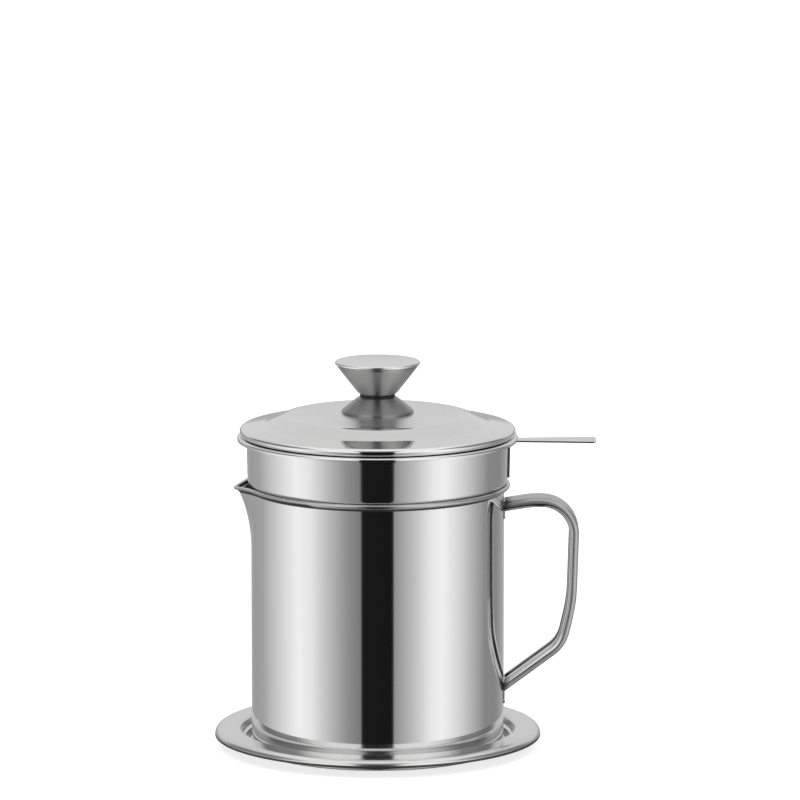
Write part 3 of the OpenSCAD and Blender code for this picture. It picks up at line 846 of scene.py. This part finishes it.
# Lid: a pressed cover with a raised middle and a rounded edge, over a collar that centres it in the strainer.
# The cover is polished, softer in the middle. The collar is a mirror, rougher under the cover's edge and in
# the groove over its lip, where its colour is painted dark as the edge's shadow and the groove's shade.
SCREW_HOLE_R = 2.75
LID_EDGE = 2.1
EDGE_BEND = LID_EDGE - SHEET / 2
LID_R = RIM_R - 0.95
EDGE_R = LID_R - SHEET / 2
LID_RISE = 9.1
CROWN_R = 47.0
LID_LEVEL = top_of("lid_cover") - LID_RISE - SHEET / 2
RING_IN = (CROWN_R + 10.5, 3.9)
RING_OUT = (EDGE_R, 1.55)
cover_line = [
    (SCREW_HOLE_R, LID_RISE, 0), (24, LID_RISE, 60), (CROWN_R, LID_RISE - 0.8, 12), (*RING_IN, 8),
    (*RING_OUT, EDGE_BEND), (EDGE_R, -EDGE_BEND, EDGE_BEND), (LID_R - LID_EDGE - 0.9, -EDGE_BEND, 0),
]
cover_finish = spun_steel(
    "spun_lid_steel", tone=0.82, roughness=0.06, lines=5.0, depth=0.0003,
    matt_middle=(CROWN_R - 8, CROWN_R + 4, 0.24),
)
cover_outline = both_faces(bent(cover_line, step=4), SHEET)
pressed_cover = spun("pressed_cover", cover_outline, LID_LEVEL, cover_finish)
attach(pressed_cover, "lid")
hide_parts("lid_cover")

COLLAR_DEPTH = 11.8
COLLAR_R = WALL_R - SHEET / 2 - 1.3
ring_slope = (RING_IN[1] - RING_OUT[1]) / (RING_OUT[0] - RING_IN[0])


def under_cover(r):
    """Height of the collar's flange, which lies against the cover from below."""
    return RING_IN[1] - (r - RING_IN[0]) * ring_slope - SHEET / math.cos(math.atan(ring_slope))


collar_line = [
    (RING_IN[0] + 3.2, under_cover(RING_IN[0] + 3.2), 0), (COLLAR_R, under_cover(COLLAR_R), 1),
    (COLLAR_R, 4.1 - COLLAR_DEPTH, 0.4), (COLLAR_R - 0.5, 3.6 - COLLAR_DEPTH, 0.35),
    (COLLAR_R + 0.45, 3 - COLLAR_DEPTH, 0.4), (COLLAR_R + 0.45, SHEET / 2 - COLLAR_DEPTH, 0.8),
    (COLLAR_R - 1, SHEET / 2 - COLLAR_DEPTH, 0),
]
# Bands of painted shade on the collar: the cover edge's shadow under that edge, and shade in the groove over
# its lip.
cover_edge_shadow = (LID_LEVEL + under_cover(COLLAR_R), 2.6, 2.4)
groove_shade = (LID_LEVEL + 3.4 - COLLAR_DEPTH, 0.35, 0.7)
collar_finish = mirror_steel(
    "polished_collar_steel", tone=0.7, roughness=0.1, shaded_bands=(cover_edge_shadow, groove_shade)
)
rolled_collar = spun("rolled_collar", both_faces(bent(collar_line), SHEET), LID_LEVEL, collar_finish)
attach(rolled_collar, "lid")
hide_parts("lid_collar")


# Knob: two brushed flared shells meet at a waist round a black ring, under a flat cap with a fine
# ring grain. One screw from inside the lid holds it through a bush in the grip.
KNOB_LEVEL = top_of("lid_cover")
KNOB_SHEET = 0.8
SKIRT_H = 8.1
SKIRT_R = 18.55
SPACER_H = 1.4
WAIST_R = 9.3
WAIST_Z = SKIRT_H + SPACER_H
CAP_R = 21.8
GRIP_TOP = WAIST_Z + 15.7
skirt_line = [
    (SCREW_HOLE_R, SKIRT_H - KNOB_SHEET / 2, 0), (WAIST_R + 0.6, SKIRT_H - KNOB_SHEET / 2, 1),
    (SKIRT_R - KNOB_SHEET / 2, 0.9, 1), (SKIRT_R - KNOB_SHEET / 2, 0.02, 0),
]
skirt_finish = spun_steel(
    "brushed_skirt_steel", tone=0.34, roughness=0.38, lines=6.0, depth=0.001, streak=1.0
)
skirt_outline = both_faces(bent(skirt_line, step=3), KNOB_SHEET)
flared_skirt = spun("flared_skirt", skirt_outline, KNOB_LEVEL, skirt_finish, columns=128)
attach(flared_skirt, "lid")
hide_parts("knob_skirt")

grip_line = [
    (SCREW_HOLE_R, WAIST_Z + KNOB_SHEET / 2, 0), (WAIST_R - 0.1, WAIST_Z + KNOB_SHEET / 2, 4),
    (CAP_R - 1.05, GRIP_TOP - KNOB_SHEET / 2, 0.5), (CAP_R - 3.2, GRIP_TOP - KNOB_SHEET / 2, 0),
]
grip_finish = spun_steel(
    "brushed_grip_steel", tone=0.5, roughness=0.38, lines=6.0, depth=0.001, streak=1.0
)
grip_outline = both_faces(bent(grip_line, step=3), KNOB_SHEET)
flared_grip = spun("flared_grip", grip_outline, KNOB_LEVEL, grip_finish, columns=128)
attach(flared_grip, "lid")
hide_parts("knob_grip")

cap_edge = 0.8
cap_outline = [(0.0, 0.0), (CAP_R - 0.25, 0.0), (CAP_R - 0.07, 0.07), (CAP_R, 0.25), (CAP_R, cap_edge)]
cap_outline += [
    (CAP_R - cap_edge + cap_edge * math.cos(math.radians(a)), cap_edge + cap_edge * math.sin(math.radians(a)))
    for a in range(10, 91, 10)
]
cap_outline += [(0.0, 2 * cap_edge)]
cap_finish = spun_steel("spun_cap_steel", tone=0.82, roughness=0.22, lines=8.0, depth=0.0012)
knob_disc = spun("knob_disc", cap_outline, KNOB_LEVEL + GRIP_TOP, cap_finish, columns=128)
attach(knob_disc, "lid")
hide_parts("knob_cap")

spacer_finish = bpy.data.materials.new("black_ring")
spacer_finish.use_nodes = True
spacer_finish.node_tree.nodes.clear()
start = Wire(spacer_finish.node_tree)
place = start.node("ShaderNodeTexCoord", output="Object")
mottle = start.node("ShaderNodeTexNoise", inputs={"Vector": place, "Scale": 900.0, "Detail": 2.0})
plastic = start.node(
    "ShaderNodeBsdfPrincipled",
    inputs={"Base Color": (0.012, 0.012, 0.013, 1), "Roughness": mottle * 0.2 + 0.4},
)
start.node("ShaderNodeOutputMaterial", inputs={"Surface": plastic})
SPACER_R = WAIST_R - 0.3
SPACER_SOFT = 0.2
spacer_outline = [
    (SCREW_HOLE_R, 0), (SPACER_R - SPACER_SOFT, 0), (SPACER_R, SPACER_SOFT),
    (SPACER_R, SPACER_H - SPACER_SOFT), (SPACER_R - SPACER_SOFT, SPACER_H), (SCREW_HOLE_R, SPACER_H),
]
waist_ring = spun("waist_ring", spacer_outline, KNOB_LEVEL + SKIRT_H, spacer_finish, columns=96)
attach(waist_ring, "lid")
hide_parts("knob_spacer")

screw_finish = mirror_steel("turned_screw_steel", tone=0.7, roughness=0.2)
for node in ("knob_screw", "screw_washer", "knob_insert"):
    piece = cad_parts[node]
    piece.data.materials.clear()
    piece.data.materials.append(screw_finish)
